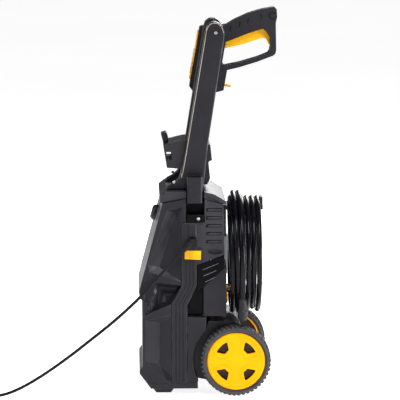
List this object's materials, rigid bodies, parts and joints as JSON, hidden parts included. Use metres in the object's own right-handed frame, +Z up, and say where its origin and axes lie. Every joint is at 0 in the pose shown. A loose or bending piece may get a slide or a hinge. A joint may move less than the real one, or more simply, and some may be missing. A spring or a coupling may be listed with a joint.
{
  "type": "pressure washer",
  "caption": "Upright electric pressure washer on two wheels, with a leaning handle, side holsters, hung hose coil, mains lead and a spray gun on a lance.",
  "frame": {"origin": "centre of the machine's footprint on the floor, without its mains lead", "axes": "+Z up; -X is the front, where the switch and the cord hook face; +X is the wheels' side; Y is the wheel axle's direction"},
  "size_m": [0.8106, 0.298, 0.8686],
  "materials": {
    "black_plastic": "fine moulded texture, satin",
    "dark_grey_plastic": "fine moulded texture, satin",
    "gloss_black_plastic": "polished",
    "yellow_plastic": "semi-gloss moulded",
    "black_rubber": "matt",
    "tyre_rubber": "moulded tread",
    "hose_black": "smooth extruded, semi-gloss",
    "cord_rubber": "extruded, satin",
    "zinc_steel": "zinc plated",
    "brass": "turned",
    "cast_aluminium": "as cast",
    "copper": "lacquered winding"
  },
  "bodies": {
    "washer": {"base_tray": "black_plastic", "foot_left": "black_rubber", "foot_right": "black_rubber", "lower_front_cover": "black_plastic", "lower_rear_housing": "black_plastic", "axle_carrier": "black_plastic", "middle_cover": "dark_grey_plastic", "upper_front_cover": "black_plastic", "upper_rear_cover": "dark_grey_plastic", "vent_band": "gloss_black_plastic", "pump_cover": "black_plastic", "top_cover": "dark_grey_plastic", "side_column_left": "black_plastic", "side_column_right": "black_plastic", "inner_frame": "cast_aluminium", "holster_sleeve_left": "black_plastic", "holster_cup_left": "black_plastic", "holster_sleeve_right": "black_plastic", "holster_cup_right": "black_plastic", "handle_rail_left": "black_plastic", "handle_rail_right": "black_plastic", "handle_grip": "dark_grey_plastic", "cord_hook": "dark_grey_plastic", "nozzle_rack": "black_plastic", "axle": "zinc_steel", "switch_box": "gloss_black_plastic", "motor_can": "zinc_steel", "pump_housing": "cast_aluminium", "pump_head": "brass", "water_inlet": "yellow_plastic", "pressure_outlet": "brass", "hose_hook": "black_plastic", "hose_coil": "hose_black", "hose_lead": "hose_black", "hose_connector": "black_plastic", "gland_cover": "black_plastic", "strain_relief": "cord_rubber", "mains_cord": "cord_rubber", "mains_coil": "cord_rubber", "mains_plug": "cord_rubber"},
    "wheel_left": {"wheel_hub_left": "yellow_plastic", "tyre_left": "tyre_rubber"},
    "wheel_right": {"wheel_hub_right": "yellow_plastic", "tyre_right": "tyre_rubber"},
    "hook_finger": {"cord_hook_finger": "black_plastic"},
    "switch_knob": {"switch_knob": "black_plastic"},
    "motor_shaft": {"rotor": "copper", "cooling_fan": "black_plastic", "swash_plate": "zinc_steel"},
    "piston_1": {"piston_1": "zinc_steel"},
    "piston_2": {"piston_2": "zinc_steel"},
    "piston_3": {"piston_3": "zinc_steel"},
    "gun": {"gun_casing_left": "black_plastic", "gun_casing_right": "black_plastic", "gun_trim": "yellow_plastic", "gun_inlet": "brass", "lance": "black_plastic"},
    "trigger": {"trigger": "yellow_plastic"},
    "lock_button": {"lock_button": "black_plastic"},
    "nozzle": {"nozzle": "yellow_plastic"}
  },
  "joints": [
    {"name": "wheel_left_spin", "type": "hinge", "parent": "washer", "child": "wheel_left", "pos_m": [0.059, -0.121, 0.08], "axis": [0, 1, 0], "continuous": true},
    {"name": "wheel_right_spin", "type": "hinge", "parent": "washer", "child": "wheel_right", "pos_m": [0.059, 0.121, 0.08], "axis": [0, 1, 0], "continuous": true},
    {"name": "gun_lift", "type": "slide", "parent": "washer", "child": "gun", "axis": [0.1564, 0, 0.9877], "range_m": [0, 0.12]},
    {"name": "trigger_pull", "type": "hinge", "parent": "gun", "child": "trigger", "pos_m": [0.04493, 0.10405, 0.77987], "axis": [0, -1, 0], "range_deg": [0, 10], "stiffness_Nm_per_rad": 0.3, "springref_deg": -2.86},
    {"name": "lock_button_push", "type": "slide", "parent": "gun", "child": "lock_button", "axis": [0, 1, 0], "range_m": [0, 0.003]},
    {"name": "nozzle_twist", "type": "hinge", "parent": "gun", "child": "nozzle", "pos_m": [-0.03997, 0.10405, 0.43561], "axis": [0.1564, 0, 0.9877], "range_deg": [0, 90]},
    {"name": "hook_finger_swivel", "type": "hinge", "parent": "washer", "child": "hook_finger", "pos_m": [-0.0965, 0, 0.5664], "axis": [-0.2672, 0, 0.9636], "range_deg": [0, 90]},
    {"name": "switch_knob_turn", "type": "hinge", "parent": "washer", "child": "switch_knob", "pos_m": [-0.11736, 0, 0.401], "axis": [-0.9665, 0, 0.2566], "range_deg": [0, 90]},
    {"name": "motor_spin", "type": "hinge", "parent": "washer", "child": "motor_shaft", "pos_m": [-0.038, 0, 0.34], "axis": [0, 0, 1], "continuous": true},
    {"name": "piston_1_stroke", "type": "slide", "parent": "washer", "child": "piston_1", "axis": [0, 0, 1], "range_m": [0, 0.006]},
    {"name": "piston_2_stroke", "type": "slide", "parent": "washer", "child": "piston_2", "axis": [0, 0, 1], "range_m": [0, 0.006]},
    {"name": "piston_3_stroke", "type": "slide", "parent": "washer", "child": "piston_3", "axis": [0, 0, 1], "range_m": [0, 0.006]}
  ]
}
